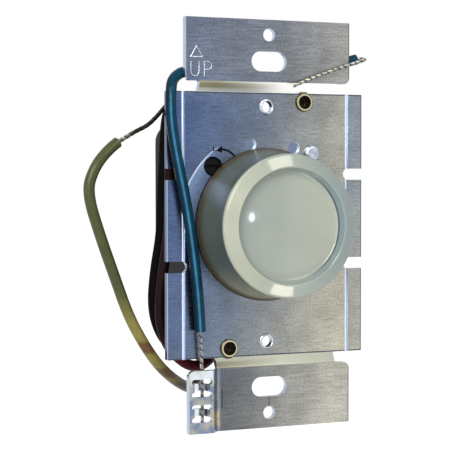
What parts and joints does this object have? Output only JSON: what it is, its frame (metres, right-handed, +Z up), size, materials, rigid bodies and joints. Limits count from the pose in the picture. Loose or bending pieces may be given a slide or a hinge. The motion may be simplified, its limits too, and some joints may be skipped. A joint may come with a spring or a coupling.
{
  "type": "fan speed control switch",
  "caption": "Wall-box rotary fan speed control: big round knob on a scored metal yoke with mounting ears, box housing behind and free wire leads.",
  "frame": {"origin": "where the knob's axis meets the front face of the yoke's plate, in the plane of the wall, midway between the wall-plate screw holes", "axes": "+X right and +Z up as seen from the room, +Y into the wall, so the knob faces -Y"},
  "size_m": [0.0781, 0.0504, 0.1046],
  "materials": {
    "sheet_aluminium": "brushed",
    "black_moulding": "moulded",
    "eyelet_brass": "plated",
    "knob_ivory": "polished, slightly translucent",
    "bright_steel": "zinc plated",
    "tan_wafer": "laminated",
    "tinned_copper": "tinned strands",
    "insulator_film": "film",
    "ferrite_grey": "sintered",
    "enamelled_copper": "enamelled wire",
    "capacitor_yellow": "moulded case",
    "capacitor_green": "dipped",
    "resistor_tan": "dipped",
    "trimmer_blue": "moulded",
    "green_insulation": "extruded",
    "yellow_insulation": "extruded",
    "black_insulation": "extruded",
    "red_insulation": "extruded"
  },
  "bodies": {
    "base": {"yoke": "sheet_aluminium", "rear_housing": "black_moulding", "rivet_upper": "eyelet_brass", "rivet_lower": "eyelet_brass", "pot_bushing": "bright_steel", "lock_washer": "bright_steel", "bushing_nut": "bright_steel", "pot_can": "bright_steel", "pot_track": "tan_wafer", "pot_terminals": "tinned_copper", "switch_divider": "tan_wafer", "switch_case": "black_moulding", "switch_contacts": "eyelet_brass", "circuit_board": "tan_wafer", "triac": "black_moulding", "triac_insulator": "insulator_film", "triac_rivet": "bright_steel", "choke_core": "ferrite_grey", "choke_winding": "enamelled_copper", "filter_capacitor": "capacitor_yellow", "timing_capacitor": "capacitor_green", "timing_resistor": "resistor_tan", "snubber_resistor": "resistor_tan", "diac": "resistor_tan", "trim_pot_body": "trimmer_blue", "ground_conductor": "tinned_copper", "green_lead": "green_insulation", "green_lead_end": "tinned_copper", "yellow_lead": "yellow_insulation", "yellow_lead_end": "tinned_copper", "black_lead": "black_insulation", "black_lead_end": "tinned_copper", "red_lead": "red_insulation", "red_lead_end": "tinned_copper"},
    "knob": {"knob": "knob_ivory", "control_shaft": "bright_steel", "retaining_ring": "bright_steel", "pot_rotor": "black_moulding", "pot_wiper": "eyelet_brass", "switch_rotor": "black_moulding", "switch_bridge": "eyelet_brass"},
    "trimmer": {"trim_rotor": "black_moulding"}
  },
  "joints": [
    {"name": "knob_turn", "type": "hinge", "parent": "base", "child": "knob", "pos_m": [0, 0, 0], "axis": [0, 1, 0], "range_deg": [0, 300]},
    {"name": "trimmer_turn", "type": "hinge", "parent": "base", "child": "trimmer", "pos_m": [-0.01493, 0, 0.01492], "axis": [0, 1, 0], "range_deg": [-135, 135]}
  ]
}
